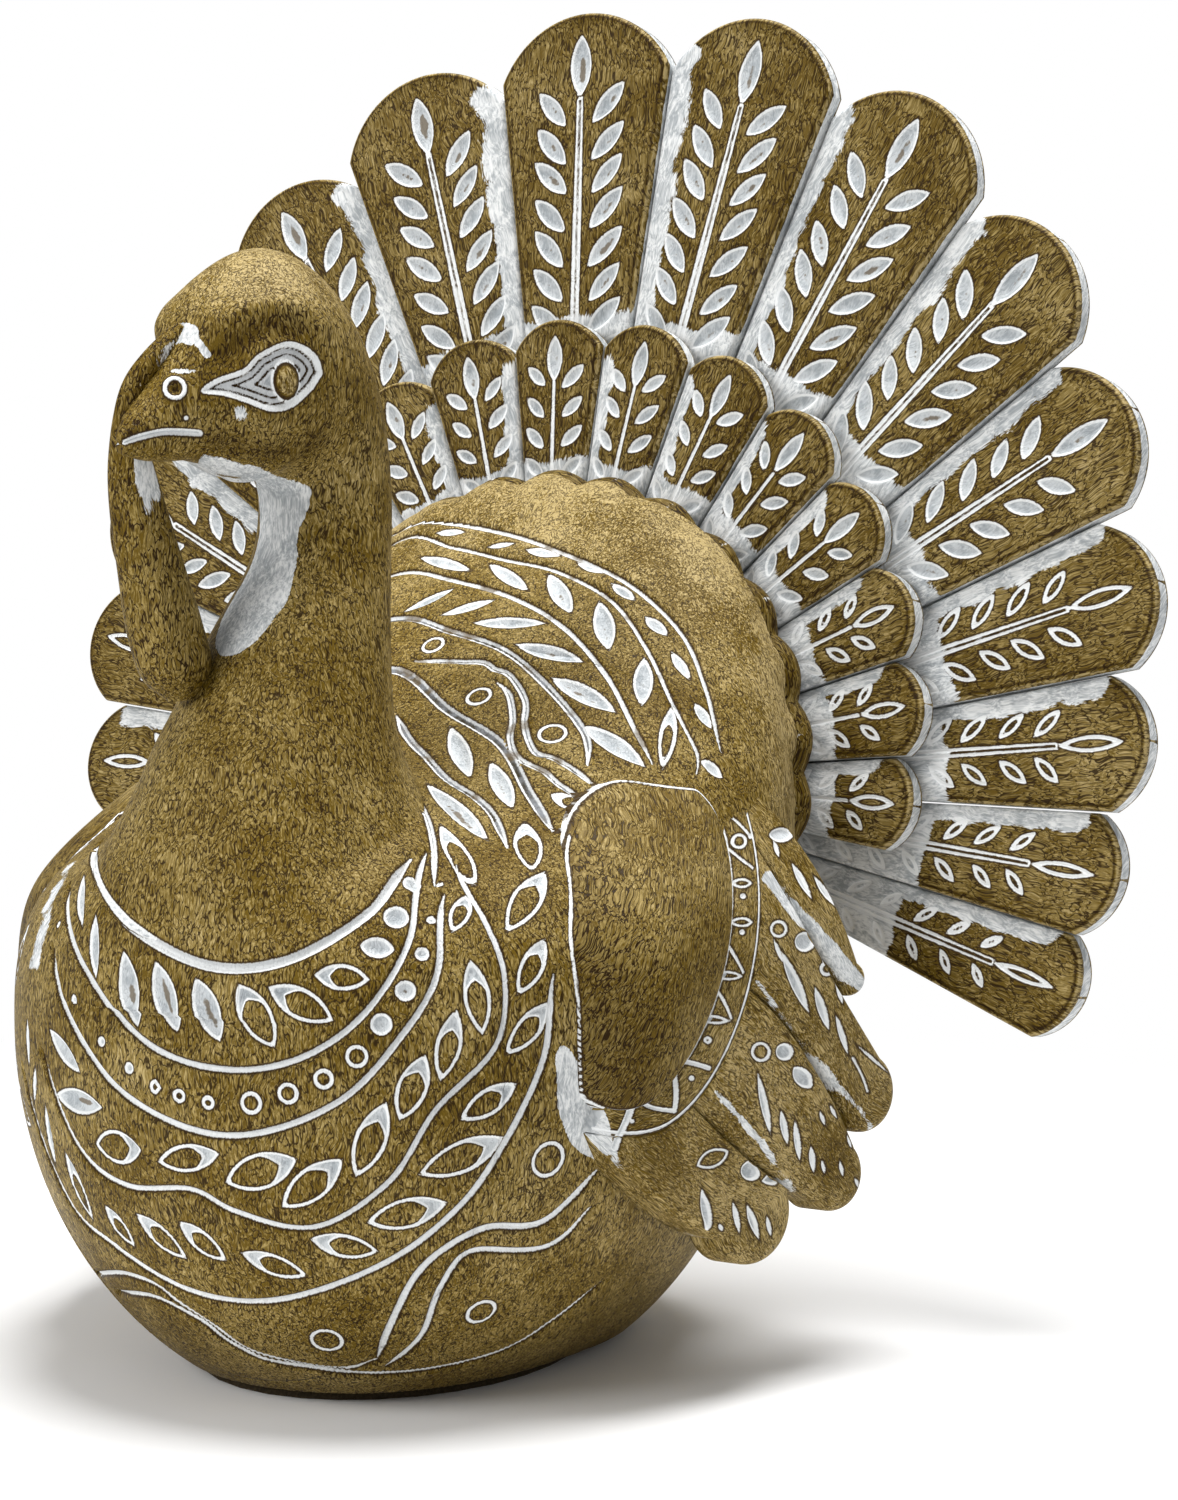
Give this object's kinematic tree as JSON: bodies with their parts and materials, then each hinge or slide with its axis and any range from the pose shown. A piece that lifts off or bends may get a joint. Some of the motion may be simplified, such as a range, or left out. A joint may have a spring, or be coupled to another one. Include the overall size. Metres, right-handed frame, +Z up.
{
  "type": "thanksgiving turkey figure",
  "caption": "Table-top turkey figure with a round carved body, upright neck, folded wings and a raised fan of overlapping feathers, standing on a flat padded base.",
  "frame": {"origin": "centre of the felt pad's underside", "axes": "+Z up, -Y towards the breast and beak, +X towards the turkey's left"},
  "size_m": [0.2393, 0.1588, 0.249],
  "materials": {
    "carved_resin": "cast resin stained brown-gold, with carved leaves and lines filled with grey-white wash",
    "feather_resin": "cast resin stained brown-gold, with a carved leaf sprig filled with grey-white wash",
    "plain_resin": "smooth cast resin stained dark brown with fine hair-like streaks, satin",
    "rim_resin": "smooth cast resin stained light brown, satin",
    "back_resin": "cast resin stained brown-gold, satin",
    "felt": "dark felt",
    "plug": "dark soft plug",
    "dowel": "plain wooden dowel"
  },
  "bodies": {
    "root": {"base_plug": "plug", "body_shell": "carved_resin", "felt_pad": "felt", "head_and_neck": "plain_resin", "inner_feather_01": "feather_resin", "inner_feather_02": "feather_resin", "inner_feather_03": "feather_resin", "inner_feather_04": "feather_resin", "inner_feather_05": "feather_resin", "inner_feather_06": "feather_resin", "inner_feather_07": "feather_resin", "inner_feather_08": "feather_resin", "inner_feather_09": "feather_resin", "inner_feather_10": "feather_resin", "inner_feather_11": "feather_resin", "inner_feather_12": "feather_resin", "inner_feather_13": "feather_resin", "inner_feather_14": "feather_resin", "inner_feather_15": "feather_resin", "left_flight_feather_1": "carved_resin", "left_flight_feather_2": "carved_resin", "left_flight_feather_3": "carved_resin", "left_flight_feather_4": "carved_resin", "left_wing_band": "carved_resin", "left_wing_dowel": "dowel", "left_wing_shield": "plain_resin", "neck_dowel": "dowel", "outer_feather_01": "feather_resin", "outer_feather_02": "feather_resin", "outer_feather_03": "feather_resin", "outer_feather_04": "feather_resin", "outer_feather_05": "feather_resin", "outer_feather_06": "feather_resin", "outer_feather_07": "feather_resin", "outer_feather_08": "feather_resin", "outer_feather_09": "feather_resin", "outer_feather_10": "feather_resin", "outer_feather_11": "feather_resin", "outer_feather_12": "feather_resin", "outer_feather_13": "feather_resin", "outer_feather_14": "feather_resin", "outer_feather_15": "feather_resin", "outer_feather_16": "feather_resin", "outer_feather_17": "feather_resin", "right_flight_feather_1": "carved_resin", "right_flight_feather_2": "carved_resin", "right_flight_feather_3": "carved_resin", "right_flight_feather_4": "carved_resin", "right_wing_band": "carved_resin", "right_wing_dowel": "dowel", "right_wing_shield": "plain_resin", "rump_collar": "rim_resin", "snood": "plain_resin", "tail_hub": "back_resin", "undertail_block": "back_resin"}
  },
  "joints": []
}
